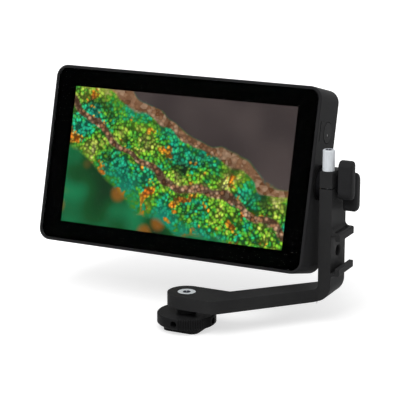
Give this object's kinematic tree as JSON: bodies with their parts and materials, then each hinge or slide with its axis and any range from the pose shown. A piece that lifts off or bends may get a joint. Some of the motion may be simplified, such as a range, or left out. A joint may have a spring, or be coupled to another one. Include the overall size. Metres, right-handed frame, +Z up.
{
  "type": "camera field monitor on a tilt arm",
  "caption": "Slim on-camera field monitor with a glass-fronted screen, held at one side by a tilting, panning metal arm on a shoe foot with a lock ring.",
  "frame": {"origin": "centre of the shoe foot's underside, on the axis of the pan pivot and the lock ring", "axes": "+Z up along the pan axis, +X to the viewer's right along the tilt axis, +Y back from the viewer; the screen faces -Y and leans back 15 degrees"},
  "size_m": [0.1635, 0.0787, 0.1137],
  "materials": {
    "housing": "fine matt moulded black",
    "cover_glass": "clear hardened glass with a black border printed behind it",
    "panel": "display panel, lit in use",
    "backlight_film": "white diffuser stack",
    "black_tape": "black foam tape",
    "tray_steel": "plain rolled steel",
    "steel_small": "plated steel",
    "circuit_board": "green solder resist",
    "chip_resin": "black moulded resin",
    "spreader_metal": "milled aluminium",
    "connector_resin": "cream moulded resin",
    "film_cable": "amber film",
    "socket_shell": "plated steel sheet",
    "socket_resin": "black moulded resin",
    "black_screw": "blackened steel",
    "brass_insert": "turned brass",
    "button_cap": "smooth matt black",
    "button_light": "milky light dot",
    "plate_resin": "satin moulded black",
    "lead_copper": "red sleeved copper lead",
    "spindle_metal": "blackened steel",
    "black_rubber": "black rubber",
    "friction_fibre": "pressed friction fibre",
    "arm_metal": "black anodised, fine blasted",
    "bright_metal": "bright plated steel",
    "knob_resin": "satin moulded black",
    "ring_metal": "black anodised"
  },
  "bodies": {
    "shoe_foot": {"foot_plate": "arm_metal", "foot_stud": "arm_metal", "pivot_screw": "bright_metal", "pivot_washer": "steel_small"},
    "ring_pad": {"ring_pad": "black_rubber"},
    "lock_ring": {"lock_ring": "ring_metal"},
    "arm": {"arm_bracket": "arm_metal", "friction_washer": "friction_fibre"},
    "tension_screw": {"tension_screw": "bright_metal"},
    "wing_knob": {"wing_knob": "knob_resin", "knob_screw": "steel_small"},
    "power_button": {"power_button": "button_cap", "button_lens": "button_light"},
    "battery_latch": {"battery_latch": "plate_resin"},
    "monitor": {"front_frame": "housing", "cover_glass": "cover_glass", "glass_tape": "black_tape", "lcd_panel": "panel", "backlight": "backlight_film", "panel_tray": "tray_steel", "tray_screws": "steel_small", "main_board": "circuit_board", "board_posts": "brass_insert", "board_screws": "steel_small", "board_chips": "chip_resin", "heat_spreader": "spreader_metal", "display_connector": "connector_resin", "display_cable": "film_cable", "hdmi_in_socket": "socket_shell", "hdmi_out_socket": "socket_shell", "power_jack": "socket_resin", "headphone_socket": "socket_resin", "usb_socket": "socket_shell", "rear_cover": "housing", "housing_screws": "black_screw", "arm_insert": "brass_insert", "side_insert": "brass_insert", "base_insert": "brass_insert", "button_board": "circuit_board", "button_switch": "chip_resin", "battery_plate": "plate_resin", "plate_screws": "steel_small", "battery_contacts": "brass_insert", "battery_leads": "lead_copper", "latch_spring": "steel_small", "tilt_spindle": "spindle_metal", "spindle_pad": "black_rubber", "spindle_clip": "steel_small"}
  },
  "joints": [
    {"name": "arm_pan", "type": "hinge", "parent": "shoe_foot", "child": "arm", "pos_m": [0, 0, 0.014], "axis": [0, 0, 1], "continuous": true},
    {"name": "ring_travel", "type": "slide", "parent": "shoe_foot", "child": "ring_pad", "axis": [0, 0, 1], "range_m": [0, 0.0026]},
    {"name": "ring_turn", "type": "hinge", "parent": "ring_pad", "child": "lock_ring", "pos_m": [0, 0, 0.005], "axis": [0, 0, 1], "range_deg": [0, 935]},
    {"name": "screen_tilt", "type": "hinge", "parent": "arm", "child": "monitor", "pos_m": [0, 0.04025, 0.0678], "axis": [1, 0, 0], "continuous": true},
    {"name": "knob_turn", "type": "hinge", "parent": "monitor", "child": "wing_knob", "pos_m": [0.065, 0.04025, 0.0678], "axis": [1, 0, 0], "continuous": true},
    {"name": "tension_turn", "type": "hinge", "parent": "arm", "child": "tension_screw", "pos_m": [0.0575, 0.0341, 0.08], "axis": [0, 0, 1], "range_deg": [-180, 180]},
    {"name": "power_press", "type": "slide", "parent": "monitor", "child": "power_button", "axis": [-1, 0, 0], "range_m": [0, 0.0006], "stiffness_N_per_m": 1500},
    {"name": "latch_press", "type": "slide", "parent": "monitor", "child": "battery_latch", "axis": [0, -0.9659, 0.2588], "range_m": [0, 0.0016], "stiffness_N_per_m": 800}
  ],
  "couplings": [
    {"joint": "ring_travel", "follows": "ring_turn", "m_per_rad": 0.00015915}
  ]
}
